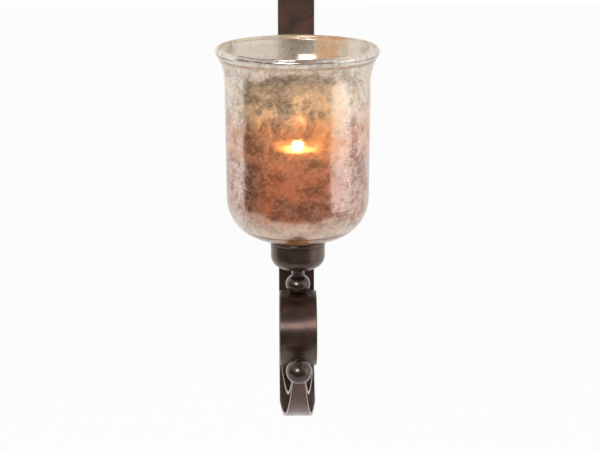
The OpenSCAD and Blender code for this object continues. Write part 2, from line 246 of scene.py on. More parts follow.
class Finish(Nodes):
    """A material, with its patterns on Object coordinates."""

    def __init__(self, name):
        self.material = bpy.data.materials.new(name)
        self.material.use_nodes = True
        super().__init__(self.material.node_tree)
        self.place = self.node("ShaderNodeTexCoord", {}, {}, "Object")

    def stretched(self, scale):
        return self.node("ShaderNodeMapping", {}, {"Vector": self.place, "Scale": scale})

    def noise(self, size, detail=3, rough=0.5, warp=0, at=None):
        """Cloudy noise from 0 to 1 whose blotches are about this size."""
        inputs = {"Vector": at or self.place, "Scale": 1 / size, "Detail": detail}
        inputs |= {"Roughness": rough, "Distortion": warp}
        return self.node("ShaderNodeTexNoise", {}, inputs)

    def cells(self, size, feature="F1"):
        """Distance in a cell pattern whose cells are about this size."""
        inputs = {"Vector": self.place, "Scale": 1 / size}
        return self.node("ShaderNodeTexVoronoi", {"feature": feature}, inputs, "Distance")

    def blend(self, factor, first, second):
        """A mix of two colours, which are sockets 6 and 7 of the node and its output 2."""
        first, second = (c if isinstance(c, Socket) else (*c, 1) for c in (first, second))
        return self.node("ShaderNodeMix", {"data_type": "RGBA"}, {0: factor, 6: first, 7: second}, 2)

    def bump(self, height, distance, strength):
        inputs = {"Height": height, "Distance": distance, "Strength": strength}
        return self.node("ShaderNodeBump", {}, inputs)

    def principled(self, **sockets):
        names = {key.replace("_", " "): value for key, value in sockets.items()}
        colour = names.get("Base Color")
        if colour is not None and not isinstance(colour, Socket):
            names["Base Color"] = (*colour, 1)
        return self.node("ShaderNodeBsdfPrincipled", {}, names)

    def tinted_glass(self, colour):
        """What shows through the film, in this colour."""
        inputs = {"Color": (*colour, 1), "Roughness": 0.15, "IOR": GLASS_IOR}
        return self.node("ShaderNodeBsdfGlass", {}, inputs)

    def backlit(self, colour):
        """Thin film that light from behind comes through in this colour."""
        return self.node("ShaderNodeBsdfTranslucent", {}, {"Color": (*colour, 1)})

    def show(self, shader):
        output = self.tree.nodes.new("ShaderNodeOutputMaterial")
        self.tree.links.new(shader.socket, output.inputs["Surface"])
        return self.material


# ---------------------------------------------------------------- finishes

def aged_bronze(name, dark, brown, dull, wax, wax_dull, brushed=0.0):
    """Dark aged bronze: brown clouds in near black, and light edges that are partly wear and partly a
    painted edge highlight, under thin wax.
    """
    f = Finish(name)
    clouds = f.noise(34 * mm, 4, 0.55, 0.6)
    grime = f.noise(5 * mm, 6, 0.65)
    specks = f.noise(0.9 * mm, 3, 0.6)
    # the pale edges are partly wear and partly a painted edge highlight
    edge_wear_and_highlight = f.node("ShaderNodeAttribute", {"attribute_name": "edge"}, {}, "Fac")
    rubbed_and_highlit = edge_wear_and_highlight * (0.45 + 0.75 * grime).between(0.45, 1.0)
    colour = f.blend(clouds.between(0.25, 0.75), dark, brown)
    colour = f.blend(0.3 * grime.between(0.35, 0.75), colour, (0.02, 0.012, 0.010))
    colour = f.blend(0.8 * rubbed_and_highlit, colour, (0.62, 0.52, 0.47))
    rough = dull + 0.16 * (grime - 0.5) + 0.08 * specks
    scratches = f.noise(2.2 * mm, 5, 0.7, 0.3, f.stretched((1, 1, 0.18)))
    normal = f.bump(0.6 * scratches + 0.5 * specks, 0.03 * mm, 0.5)
    surface = f.principled(
        Base_Color=colour, Metallic=0.88, Roughness=rough, Normal=normal,
        Anisotropic=brushed, Coat_Weight=wax, Coat_Roughness=wax_dull,
    )
    return f.show(surface)


def dull_zinc():
    f = Finish("dull_zinc")
    bloom = f.noise(3 * mm, 5, 0.6)
    turning = f.noise(0.5 * mm, 2, 0.5, 0, f.stretched((1, 1, 6)))
    colour = f.ramp(bloom, (0.3, (0.30, 0.29, 0.28)), (0.7, (0.55, 0.54, 0.51)))
    surface = f.principled(
        Base_Color=colour, Metallic=1.0, Roughness=0.32 + 0.25 * bloom,
        Normal=f.bump(turning, 0.02 * mm, 0.6),
    )
    return f.show(surface)


def matt_seal():
    f = Finish("matt_seal")
    dust = f.noise(4 * mm, 6, 0.7)
    grain = f.noise(0.4 * mm, 2)
    colour = f.ramp(dust, (0.35, (0.016, 0.014, 0.012)), (0.8, (0.06, 0.055, 0.048)))
    surface = f.principled(
        Base_Color=colour, Roughness=0.62 + 0.2 * dust, Normal=f.bump(grain, 0.02 * mm, 0.5)
    )
    return f.show(surface)


# ---------------------------------------------------------------- shapes

def arc(centre, radius, start, end, steps):
    """Points of an arc in degrees, both ends included."""
    turned = [math.radians(start + (end - start) * i / steps) for i in range(steps + 1)]
    return [(centre[0] + radius * math.cos(t), centre[1] + radius * math.sin(t)) for t in turned]


def tree_with(name, inputs):
    """An empty geometry tree with these named inputs and one geometry output."""
    tree = bpy.data.node_groups.new(name, "GeometryNodeTree")
    for label, kind in {"Geometry": "NodeSocketGeometry", **inputs}.items():
        tree.interface.new_socket(label, in_out="INPUT", socket_type=kind)
    tree.interface.new_socket("Geometry", in_out="OUTPUT", socket_type="NodeSocketGeometry")
    return tree


class Shape(Nodes):
    """The nodes of a geometry tree, written in the same way as a material's."""

    def __init__(self, tree):
        super().__init__(tree)
        self.given = tree.nodes.new("NodeGroupInput")

    def input(self, name):
        return Socket(self, self.given.outputs[name])

    def sample(self, kind, value, index):
        """A value on the points of the given geometry, read at an index."""
        settings = {"data_type": kind, "domain": "POINT"}
        inputs = {"Geometry": self.input("Geometry"), "Index": index}
        made = self.node("GeometryNodeSampleIndex", settings, inputs)
        self.tree.links.new(value.socket, made.socket.node.inputs["Value"])
        return made

    def named(self, kind, name):
        return self.node("GeometryNodeInputNamedAttribute", {"data_type": kind}, {"Name": name})

    def count(self):
        """How many points the given geometry has."""
        inputs = {"Geometry": self.input("Geometry")}
        return self.node("GeometryNodeAttributeDomainSize", {}, inputs, "Point Count")

    def vector(self, x, y, z):
        return self.node("ShaderNodeCombineXYZ", {}, {0: x, 1: y, 2: z})

    def vector_maths(self, operation, inputs):
        return self.node("ShaderNodeVectorMath", {"operation": operation}, inputs)

    def grid(self, columns, rows):
        """The mesh of a grid, and the column and the row of each of its points."""
        inputs = {"Vertices X": columns, "Vertices Y": rows}
        mesh = self.node("GeometryNodeMeshGrid", {}, inputs, "Mesh")
        index = self.node("GeometryNodeInputIndex", {}, {})
        column = (index / rows).maths("FLOOR", (index + 0.5) / rows)
        return mesh, column, index - column * rows

    def give(self, mesh, place):
        """Puts the grid's points in place, joins what meets and gives the finish."""
        moved = self.node("GeometryNodeSetPosition", {}, {"Geometry": mesh, "Position": place})
        near = {"Geometry": moved, "Distance": 0.001 * mm}
        joined = self.node("GeometryNodeMergeByDistance", {}, near)
        real = self.node("GeometryNodeRealizeInstances", {}, {"Geometry": joined})
        done = self.node(
            "GeometryNodeSetMaterial", {}, {"Geometry": real, "Material": self.input("Finish")}
        )
        end = self.tree.nodes.new("NodeGroupOutput")
        self.tree.links.new(done.socket, end.inputs[0])


def turning_tree():
    """Turns an outline, given as points in XZ, round the upright axis at the depth Axis."""
    inputs = {"Steps": "NodeSocketInt", "Axis": "NodeSocketFloat", "Finish": "NodeSocketMaterial"}
    s = Shape(tree_with("turned_piece", inputs))
    mesh, column, row = s.grid(s.input("Steps") + 1, s.count())
    outline = s.sample("FLOAT_VECTOR", s.node("GeometryNodeInputPosition", {}, {}), row)
    angle = column / s.input("Steps") * (2 * math.pi)
    radius = outline.part("X")
    across = radius * angle.maths("SINE", angle)
    forward = radius * angle.maths("COSINE", angle)
    s.give(mesh, s.vector(across, -1 * (forward + s.input("Axis")), outline.part("Z")))
    return s.tree


def drawn_bar_tree():
    """Sweeps a flat bar with round edges along stations, which say where it goes and how wide it is."""
    inputs = {
        "Thickness": "NodeSocketFloat",
        "Edge radius": "NodeSocketFloat",
        "Edge steps": "NodeSocketInt",
        "Finish": "NodeSocketMaterial",
    }
    s = Shape(tree_with("drawn_bar", inputs))
    steps = s.input("Edge steps")
    mesh, column, row = s.grid(4 * (steps + 1) + 1, s.count())
    place = s.sample("FLOAT_VECTOR", s.node("GeometryNodeInputPosition", {}, {}), row)
    out = s.sample("FLOAT_VECTOR", s.named("FLOAT_VECTOR", "out"), row)
    half = s.sample("FLOAT", s.named("FLOAT", "half_width"), row)
    rub = s.sample("FLOAT", s.named("FLOAT", "rub"), row)
    corner = column.maths("FLOOR", (column + 0.5) / (steps + 1))
    step = column - corner * (steps + 1)
    diagonal = (corner + 0.5) * (math.pi / 2)
    angle = (corner + step / steps) * (math.pi / 2)
    radius = s.input("Edge radius")
    half_thick = s.input("Thickness") / 2
    wide = diagonal.maths("SIGN", diagonal.maths("COSINE", diagonal)) * (half - radius)
    thick = diagonal.maths("SIGN", diagonal.maths("SINE", diagonal)) * (half_thick - radius)
    wide = wide + radius * angle.maths("COSINE", angle)
    thick = thick + radius * angle.maths("SINE", angle) - half_thick
    raised = s.vector_maths("SCALE", {0: out, "Scale": thick})
    aside = s.vector_maths("ADD", {0: raised, 1: s.vector(wide, 0.0, 0.0)})
    end = s.vector_maths("ADD", {0: place, 1: aside})
    # the round of an edge is where the finish shows wear and a painted edge highlight
    along = step / steps
    on_round = rub * along.maths("MINIMUM", 1.0, 8 * along * (1 - along))
    marked = s.node(
        "GeometryNodeStoreNamedAttribute",
        {"data_type": "FLOAT", "domain": "POINT"},
        {"Geometry": mesh, "Name": "edge", "Value": on_round},
    )
    s.give(marked, end)
    return s.tree


def settled(piece):
    """The mesh that a piece's modifiers make."""
    return bpy.data.meshes.new_from_object(piece.evaluated_get(bpy.context.evaluated_depsgraph_get()))


def shaped(name, tree, points, finish, attributes=None, **inputs):
    """Runs a geometry tree on a row of points and returns the plain object that it makes."""
    row = bpy.data.meshes.new(name + "_row")
    row.from_pydata([(p[0], 0, p[1]) if len(p) == 2 else p for p in points], [], [])
    for label, (kind, key, values) in (attributes or {}).items():
        row.attributes.new(label, kind, "POINT").data.foreach_set(key, values)
    maker = bpy.data.objects.new(name + "_maker", row)
    bpy.context.collection.objects.link(maker)
    modifier = maker.modifiers.new("shape", "NODES")
    modifier.node_group = tree
    given = {s.name: s.identifier for s in tree.interface.items_tree if s.in_out == "INPUT"}
    for label, value in {"Finish": finish, **inputs}.items():
        modifier[given[label.replace("_", " ")]] = value
    made = settled(maker)
    bpy.data.objects.remove(maker)
    made.name = name
    made.materials.clear()
    made.materials.append(finish)
    made.polygons.foreach_set("material_index", [0] * len(made.polygons))
    piece = bpy.data.objects.new(name, made)
    bpy.context.collection.objects.link(piece)
    return piece


def tidy(piece):
    """Closes open ends, turns every face outwards and shades the mesh smooth."""
    m = bmesh.new()
    m.from_mesh(piece.data)
    bmesh.ops.remove_doubles(m, verts=m.verts, dist=0.002 * mm)
    bmesh.ops.dissolve_degenerate(m, edges=m.edges, dist=0.001 * mm)
    bmesh.ops.holes_fill(m, edges=[e for e in m.edges if e.is_boundary], sides=0)
    bmesh.ops.recalc_face_normals(m, faces=m.faces)
    for face in m.faces:
        face.smooth = True
    m.to_mesh(piece.data)
    m.free()
    return piece


def level_faces(piece):
    """Keeps wide faces flat beside their round edges."""
    modifier = piece.modifiers.new("level", "WEIGHTED_NORMAL")
    modifier.keep_sharp = True
    return piece


def stands_for(piece, body, slot, *nodes):
    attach(piece, body)
    if nodes:
        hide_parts(*nodes)


# ---------------------------------------------------------------- the two bars

def bar_station(centre, radius, degrees, half_width):
    """One station on the outer face of a bend, as (place, way out, half width)."""
    t = math.radians(degrees)
    way = Vector((0, -math.cos(t), math.sin(t)))
    return Vector((0, -centre[0], centre[1])) + way * radius, way, half_width


def bend_stations(centre, radius, start, end, widths):
    """Stations round a bend, with the half widths at its two ends."""
    steps = max(2, round(abs(end - start) / BEND_STEP))
    made = []
    for i in range(steps + 1):
        k = i / steps
        half_width = widths[0] + (widths[1] - widths[0]) * k
        made.append(bar_station(centre, radius, start + (end - start) * k, half_width))
    return made


def upright_stations(depth, way, heights, half_width):
    return [(Vector((0, -depth, z)), Vector((0, way, 0)), half_width) for z in heights]


def eye_stations(depth):
    """The tongue's last stretch, which swells into a round eye for the ball's screw."""
    made = []
    for k in range(EYE_STEPS + 1):
        z = ball_z - eye_r + 2 * eye_r * k / EYE_STEPS
        circle = math.sqrt(max(0, eye_r ** 2 - (z - ball_z) ** 2))
        half = circle if z > ball_z else max(tip_w / 2, circle)
        made.append((Vector((0, -depth, z)), Vector((0, -1, 0)), max(half, bar_edge_r * 1.05)))
    return made


def spaced(low, high, count):
    return [low + (high - low) * i / (count - 1) for i in range(count)]


def make_bar(name, stations, tree, finish):
    """Sweeps a bar along its stations, without those that stand closer than a hair."""
    closest = 0.02 * mm
    kept = [stations[0]]
    for s in stations[1:]:
        if (s[0] - kept[-1][0]).length > closest:
            kept.append(s)
    ways = [c for s in kept for c in s[1]]
    widths = [s[2] for s in kept]
    # the wide lengths get a little edge wear and painted highlight, and the tapers more and more
    drawn_out = [(bar_w / 2 - w) / (bar_w / 2 - tip_w / 2) for w in widths]
    rubs_and_highlights = [0.12 + 0.88 * min(1, 2.5 * share) for share in drawn_out]
    attributes = {
        "out": ("FLOAT_VECTOR", "vector", ways),
        "half_width": ("FLOAT", "value", widths),
        "rub": ("FLOAT", "value", rubs_and_highlights),
    }
    piece = shaped(
        name, tree, [s[0] for s in kept], finish, attributes,
        Thickness=bar_t, Edge_radius=bar_edge_r, Edge_steps=EDGE_STEPS,
    )
    return tidy(piece)


def wall_bar_stations():
    centre = (hook_r, hook_z)
    wide, narrow = bar_w / 2, tip_w / 2
    top = wall_high.z
    made = []
    # the eased corners of the upper end
    for k in range(CORNER_STEPS + 1):
        t = math.radians(90 * k / CORNER_STEPS)
        half = wide - bar_corner_r + bar_corner_r * math.sin(t)
        z = top - bar_corner_r + bar_corner_r * math.cos(t)
        made.append((Vector((0, 0, z)), Vector((0, 1, 0)), half))
    made += upright_stations(0, 1, spaced(top - 2 * bar_corner_r, hook_z, 60), wide)
    made += bend_stations(centre, hook_r, 180, HOOK_TAPER_AT, (wide, wide))
    made += bend_stations(centre, hook_r, HOOK_TAPER_AT, 360, (wide, narrow))
    return made + eye_stations(tip_d)


def scroll_bar_stations():
    hook = (spine_d + scroll_r, scroll_z)
    wide, narrow = bar_w / 2, tip_w / 2
    made = list(reversed(eye_stations(clamp_d + bar_t)))
    made += bend_stations(hook, scroll_r, 360, SCROLL_TAPER_AT, (narrow, wide))
    made += bend_stations(hook, scroll_r, SCROLL_TAPER_AT, 180, (wide, wide))
    made += upright_stations(spine_d, 1, spaced(scroll_z, volute_z, 24), wide)
    centre, radius = Vector((axis_d, volute_z)), volute_r
    made += bend_stations(centre, radius, 180, CURL_TAPER_AT, (wide, wide))
    # the curl: each turn is tighter than the one before, and its centre keeps the two tangent
    turns = []
    start = CURL_TAPER_AT
    for end, step in zip((-90, -180, -270, CURL_END), (*CURL_STEPS, 0)):
        turns.append((centre.copy(), radius, start, end))
        t = math.radians(end)
        centre += Vector((math.cos(t), math.sin(t))) * step
        radius -= step
        start = end
    length = sum(r * abs(b - a) for _, r, a, b in turns)
    done = 0
    for c, r, a, b in turns:
        ends = [wide + (narrow - wide) * (done + part) / length for part in (0, r * abs(b - a))]
        made += bend_stations(c, r, a, b, ends)
        done += r * abs(b - a)
    return made


def bore(radius, low, high, far_radius=None, along="depth", place=(0, 0)):
    """A round cutter along the depth, height or width, from low to high on it and at a place across it."""
    m = bmesh.new()
    bmesh.ops.create_cone(
        m, cap_ends=True, segments=64, depth=high - low, radius1=radius, radius2=far_radius or radius
    )
    middle = (low + high) / 2
    turn, at = {
        "depth": (Matrix.Rotation(math.pi / 2, 4, "X"), (place[0], -middle, place[1])),
        "height": (Matrix.Identity(4), (place[0], -place[1], middle)),
        "width": (Matrix.Rotation(math.pi / 2, 4, "Y"), (middle, -place[0], place[1])),
    }[along]
    bmesh.ops.transform(m, matrix=Matrix.Translation(at) @ turn, verts=m.verts)
    mesh = bpy.data.meshes.new("cutter")
    m.to_mesh(mesh)
    m.free()
    return mesh


def cut(piece, cutters):
    """Cuts bores out of a piece."""
    for mesh in cutters:
        tool = bpy.data.objects.new("cutter", mesh)
        bpy.context.collection.objects.link(tool)
        modifier = piece.modifiers.new("bore", "BOOLEAN")
        modifier.operation = "DIFFERENCE"
        modifier.solver = "EXACT"
        modifier.object = tool
        made = settled(piece)
        piece.modifiers.clear()
        old, piece.data = piece.data, made
        bpy.data.meshes.remove(old)
        bpy.data.objects.remove(tool)
        made.name = piece.name
    piece.data.set_sharp_from_angle(angle=math.radians(SHARP))


def make_bars(tree, finish):
    past, lead, gap = 2 * mm, 0.5 * mm, 0.25 * mm
    post_screw_r, ball_screw_r = 3 * mm, 2.5 * mm
    post_r, ball_hole_r = post_screw_r + gap, ball_screw_r + gap
    head_r, sink = 5.75 * mm + gap, 2.75 * mm + gap
    post_z = standoff_middle.z
    wall = make_bar("wall_strap", wall_bar_stations(), tree, finish)
    cut(wall, [
        bore(screw_hole_r, -past, bar_t + past, place=(0, screw_pitch / 2)),
        bore(screw_hole_r, -past, bar_t + past, place=(0, -screw_pitch / 2)),
        bore(post_r, -past, bar_t + past, place=(0, post_z)),
        bore(head_r + lead, -lead, sink, far_radius=post_screw_r, place=(0, post_z)),
        bore(ball_hole_r, tip_d - bar_t - past, tip_d + past, place=(0, ball_z)),
    ])
    stands_for(level_faces(wall), "bracket", "bronze_bar", "wall_bar")
    scroll = make_bar("scroll_strap", scroll_bar_stations(), tree, finish)
    cut(scroll, [
        bore(post_r, spine_d - past, spine_d + bar_t + past, place=(0, post_z)),
        bore(ball_hole_r, clamp_d - lead, clamp_d + bar_t + past, place=(0, ball_z)),
        bore(rod_hole_r, seat_z - bar_t - past, seat_z + past, along="height", place=(0, axis_d)),
    ])
    stands_for(level_faces(scroll), "bracket", "bronze_bar", "scroll_bar")


# ---------------------------------------------------------------- turned pieces

def turned(name, outline, tree, finish, steps=128, axis=axis_d):
    piece = shaped(name, tree, [(max(r, 0), z) for r, z in outline], finish, Steps=steps, Axis=axis)
    return tidy(piece)


def eased(corner, before, after, radius, steps=3):
    """A small round in place of a corner of an outline."""
    c, b, a = Vector(corner), Vector(before), Vector(after)
    to_b, to_a = (b - c).normalized(), (a - c).normalized()
    start, end = c + to_b * radius, c + to_a * radius
    points = []
    for i in range(steps + 1):
        k = i / steps
        points.append(tuple(start * (1 - k) ** 2 + c * 2 * k * (1 - k) + end * k ** 2))
    return points


def make_ball(tree, finish):
    """A ball with a flat back, turned upright and then laid on its back against the wall bar's tip."""
    flat_r, flat_ease, ease_turn = 5.5 * mm, 0.6 * mm, 2
    thread_r, thread_depth = 2.6 * mm, 12 * mm
    flat = math.degrees(math.acos(flat_r / ball_r))
    reach = ball_r * math.sin(math.radians(flat))
    outline = [(0, -reach), (flat_r - flat_ease, -reach)]
    outline += arc((0, 0), ball_r, -flat + ease_turn, 90, 40)
    ball = turned("ball_finial", outline, tree, finish, 96, 0)
    laid = Matrix.Rotation(math.pi / 2, 4, "X")
    ball.data.transform(Matrix.Translation((0, -(tip_d + reach), ball_z)) @ laid)
    cut(ball, [bore(thread_r, tip_d - 1 * mm, tip_d + thread_depth, place=(0, ball_z))])
    stands_for(level_faces(ball), "bracket", "bronze_turned", "finial_ball")


def make_neck(tree, finish):
    """A bead that sits on the volute, a waist and a collar that flares out under the cup."""
    top = cup_low.z
    band, rim = (collar_r, top - collar_band), (collar_r, top)
    bead = (bead_r - bead_edge_r, seat_z + bead_rise)
    flare = (collar_r + 0.5 * mm, top - collar_h + 1 * mm)
    flare_r = flare[0] - waist_r
    meet = math.degrees(math.acos((waist_r - bead[0]) / bead_edge_r))
    outline = [(0, bead[1] - bead_edge_r), (bead[0], bead[1] - bead_edge_r)]
    outline += arc(bead, bead_edge_r, -90, meet, 36)
    outline += arc(flare, flare_r, 180, 180 - COLLAR_TURN, 10)
    outline += eased(band, outline[-1], rim, collar_edge_r)
    outline += eased(rim, band, (0, top), 0.3 * mm) + [(0, top)]
    neck = turned("turned_neck", outline, tree, finish)
    cut(neck, [
        bore(volute_r, -bar_w, bar_w, along="width", place=(axis_d, volute_z)),
        bore(rod_hole_r, seat_z - 5 * mm, top + 2 * mm, along="height", place=(0, axis_d)),
    ])
    stands_for(level_faces(neck), "bracket", "bronze_turned", "neck")


def make_cup(tree, finish):
    """A spun cup with a round lower edge, a fine groove and a rolled lip."""
    low, top = cup_low.z, cup_high.z
    lip_r = cup_lip_h / 2
    step = top - cup_lip_h
    in_r, in_low = cup_r - cup_wall, low + cup_floor
    in_edge = cup_edge_r - cup_wall
    bead = (cup_lip_r - lip_r, top - lip_r)
    outline = [(0, low)] + arc((cup_r - cup_edge_r, low + cup_edge_r), cup_edge_r, -90, 0, 18)
    groove = ((2.0, 0), (1.7, cup_groove), (1.1, cup_groove), (0.8, 0), (0, 0))
    outline += [(cup_r - inward, step - down * mm) for down, inward in groove]
    outline += arc(bead, lip_r, -90, 90, 14)
    outline += eased((in_r, top), (cup_r, top), (in_r, low), 0.4 * mm)
    outline += arc((in_r - in_edge, in_low + in_edge), in_edge, 0, -90, 14) + [(0, in_low)]
    cup = turned("spun_cup", outline, tree, finish)
    cut(cup, [bore(rod_hole_r, low - 1 * mm, in_low + 1 * mm, along="height", place=(0, axis_d))])
    stands_for(level_faces(cup), "bracket", "bronze_turned", "cup")


# ---------------------------------------------------------------- glass, candle and flame

def straight(start, end, steps):
    """Points between two points of an outline, without its ends."""
    return [tuple(a + (b - a) * k / steps for a, b in zip(start, end)) for k in range(1, steps)]


def glass_outline():
    """The outline of the glass from the middle of its foot, up the outside and down the inside."""
    bead = glass_wall / 2
    mid = roll_r - bead
    turn = math.radians(RIM_TURN)
    flare = math.radians(FLARE)
    roll = (rim_r - roll_r, rim_z - bead - mid * math.sin(turn))
    lip = (roll[0] + mid * math.cos(turn), roll[1] + mid * math.sin(turn))
    flare_r = (roll[0] + roll_r * math.cos(flare) - body_top_r) / (1 - math.cos(flare))
    flare_c = (body_top_r + flare_r, roll[1] - (roll_r + flare_r) * math.sin(flare))
    bottom = (body_low_r - bottom_r, glass_z + bottom_r)
    floor_edge = bottom_r - glass_wall
    foot_in = foot_r - glass_wall
    foot_floor = glass_low.z + glass_wall
    outside = [(0, glass_low.z)]
    outside += arc((foot_r - foot_edge_r, glass_low.z + foot_edge_r), foot_edge_r, -90, 0, 8)
    outside += eased((foot_r, glass_z), (foot_r, glass_low.z), (bottom[0], glass_z), 1.5 * mm, 5)
    outside += arc(bottom, bottom_r, -90, 0, 40)
    outside += straight((body_low_r, bottom[1]), (body_top_r, flare_c[1]), BODY_STEPS)
    outside += arc(flare_c, flare_r, 180, 180 - FLARE, 16)
    outside += arc(roll, roll_r, -FLARE, RIM_TURN, 14)[1:]
    outside += arc(lip, bead, RIM_TURN, RIM_TURN + 90, 6)[1:]
    inside = arc(lip, bead, RIM_TURN + 90, RIM_TURN + 180, 6)[1:]
    inside += arc(roll, roll_r - glass_wall, RIM_TURN, -FLARE, 10)[1:]
    inside += arc(flare_c, flare_r + glass_wall, 180 - FLARE, 180, 16)[1:]
    top_in, low_in = body_top_r - glass_wall, body_low_r - glass_wall
    inside += straight((top_in, flare_c[1]), (low_in, bottom[1]), BODY_STEPS)
    inside += arc(bottom, floor_edge, 0, -90, 34)
    # the floor is thicker than the wall, so its inside is higher
    raised, floor_r = glass_floor - glass_wall, body_low_r - 20 * mm
    inside = [(r, z + raised if r < floor_r else z) for r, z in inside]
    inside += [(foot_in, glass_z + glass_floor)]
    inside += arc((foot_in - foot_edge_r, foot_floor + foot_edge_r), foot_edge_r, 0, -90, 6)
    return outside, inside + [(0, foot_floor)]


GLASS_IOR = 1.5
AMBER, CHAMPAGNE = (0.93, 0.49, 0.26), (0.95, 0.77, 0.56)
CREAM, HONEY = (0.98, 0.92, 0.81), (0.85, 0.50, 0.24)


def silvered_film():
    """The mirror film inside the glass: mottled silver over rose copper, thin enough to show a flame."""
    f = Finish("silvered_film")
    across, depth, height = (f.place.part(axis) for axis in "XYZ")
    clouds = f.noise(48 * mm, 4, 0.5, 0.4)
    mottle = f.noise(15 * mm, 5, 0.6)
    grain = f.noise(4.4 * mm, 4, 0.62)
    crackle = f.cells(4.5 * mm, "DISTANCE_TO_EDGE").between(0.10, 0.0)
    dots = f.cells(6 * mm).between(0.30, 0.12) * grain.between(0.42, 0.58)
    # silver at the top, rose copper round the middle and champagne at the bottom
    wander = 75 * mm * (clouds - 0.5)
    high = (height + wander).between(-52 * mm, -20 * mm)
    low = (height + 0.4 * wander).between(-138 * mm, -158 * mm)
    pale = high.maths("MAXIMUM", high, low)
    streaks = f.noise(5 * mm, 5, 0.65, 0, f.stretched((1, 1, 5.5)))
    tone = (0.4 * mottle + 0.32 * grain + 0.28 * streaks).between(0.42, 0.58)
    silver = f.ramp(
        tone, (0.0, (0.45, 0.40, 0.34)), (0.5, (0.74, 0.68, 0.60)), (1.0, (0.95, 0.92, 0.87))
    )
    copper = f.ramp(
        tone, (0.0, (0.30, 0.15, 0.105)), (0.5, (0.66, 0.50, 0.43)), (1.0, (0.87, 0.785, 0.735))
    )
    colour = f.blend(0.12 + 0.88 * pale, copper, silver)
    colour = f.blend(0.35 * crackle, colour, (0.30, 0.17, 0.11))
    colour = f.blend(0.7 * dots, colour, (0.97, 0.90, 0.82))
    # the silver is thick on the rolled lip, and a thin brown band under it is painted shade
    lip = height.between(rim_z - 10 * mm, rim_z - 8.5 * mm)
    lip_shadow = height.between(rim_z - 14 * mm, rim_z - 11.5 * mm) * (1 - lip)
    colour = f.blend(0.8 * lip_shadow * mottle.between(0.30, 0.50), colour, (0.36, 0.20, 0.13))
    colour = f.blend(0.35 * lip, colour, (0.95, 0.88, 0.84))
    # more light comes through it in blotches above the flame
    blotches = f.noise(17 * mm, 4, 0.6, 0.4).between(0.45, 0.62)
    blotches = blotches * height.between(-92 * mm, -68 * mm) * height.between(8 * mm, -16 * mm)
    # painted light: the back of the inside just below the mouth is painted a brighter cream, with an amber
    # stain on the right
    back = (depth + axis_d).between(-30 * mm, 15 * mm) * height.between(-14 * mm, 0.0)
    stain = back * across.between(12 * mm, 30 * mm) * across.between(64 * mm, 46 * mm)
    stain = 0.85 * stain * mottle.between(0.36, 0.52)
    colour = f.blend(0.5 * back, colour, (0.95, 0.92, 0.86))
    colour = f.blend(stain, colour, (0.80, 0.46, 0.22))
    # painted light: a warm glow of the flame is painted into the mirror colour on the front, rising up the
    # right of the flame
    painted_glow = across.between(-12 * mm, 8 * mm) * across.between(48 * mm, 32 * mm)
    painted_glow = painted_glow * height.between(-84 * mm, -62 * mm) * height.between(14 * mm, -8 * mm)
    painted_glow = painted_glow * (depth + axis_d).between(0.0, -20 * mm) * mottle.between(0.36, 0.54)
    colour = f.blend(0.6 * painted_glow, colour, (0.95, 0.70, 0.44))
    normal = f.bump(0.5 * mottle + 0.35 * grain + 0.25 * streaks, 0.4 * mm, 0.4)
    mirror = f.principled(
        Base_Color=colour, Metallic=0.9, Roughness=0.08 + 0.2 * (grain - 0.3), Normal=normal
    )
    clear = f.shader_mix(pale, f.tinted_glass(AMBER), f.tinted_glass(CHAMPAGNE))
    glow = f.shader_mix(pale, f.backlit(AMBER), f.backlit(CHAMPAGNE))
    glow = f.shader_mix(stain, f.shader_mix(back, glow, f.backlit(CREAM)), f.backlit(HONEY))
    # how much of the film glows instead of mirroring: less on the lip and towards both sides
    sides = across.maths("ABSOLUTE", across).between(38 * mm, 60 * mm)
    share = 0.16 + 0.27 * tone + 0.35 * dots + 0.40 * blotches + 0.35 * painted_glow
    share = share * (1 - 0.85 * lip) * (1 - 0.6 * sides)
    patches = (0.5 * mottle + 0.5 * grain).between(0.30, 0.52)
    share = share * (1 - 0.8 * back) + 0.74 * back * patches
    film = f.shader_mix(share, mirror, glow)
    # how much the film covers: less in thin patches, and least in an oval above the flame's foot
    thin = (0.5 * mottle + 0.5 * clouds).between(0.46, 0.62) * (1 - 0.75 * pale)
    oval_half_w, oval_half_h, oval_rise = 34 * mm, 20 * mm, 21 * mm
    sideways, upwards = across / oval_half_w, (height - pool_z - oval_rise) / oval_half_h
    by_flame = 1 - sideways * sideways - upwards * upwards + 0.9 * (mottle - 0.5)
    cover = 0.92 - 0.26 * thin - 0.25 * dots - 0.28 * by_flame.between(0.0, 1.0) - 0.10 * painted_glow
    return f.show(f.shader_mix(cover, clear, film))


def clear_glass():
    """The glossy outside of the glass, with the faint ripple of blown work."""
    f = Finish("clear_glass")
    ripple = f.noise(14 * mm, 3, 0.5, 0.3, f.stretched((1, 1, 2)))
    pits = f.noise(1.1 * mm, 3, 0.6)
    normal = f.bump(ripple + 0.10 * pits, 0.4 * mm, 0.2)
    colour = f.blend(0.3 * pits, (0.99, 0.985, 0.98), (0.96, 0.95, 0.94))
    glass = f.principled(
        Base_Color=colour, Roughness=0.02, IOR=GLASS_IOR, Transmission_Weight=1.0, Normal=normal
    )
    return f.show(glass)


def make_glass(tree, skin, film):
    """The glass in one closed mesh, with the clear skin outside and the film on the faces inside."""
    outside, inside = glass_outline()
    glass = turned("hurricane_glass", outside + inside, tree, skin, 160)
    glass.data.materials.append(film)
    middle = Vector((0, -axis_d, 0))
    for face in glass.data.polygons:
        out = (face.center - middle) * Vector((1, 1, 0))
        faces_axis = face.normal.dot(out.normalized()) < -0.05
        on_floor = face.normal.z > 0.4 and face.center.z < glass_z + bottom_r
        face.material_index = 1 if faces_axis or on_floor else 0
    stands_for(glass, "glass", "silvered_glass", "glass_shade")


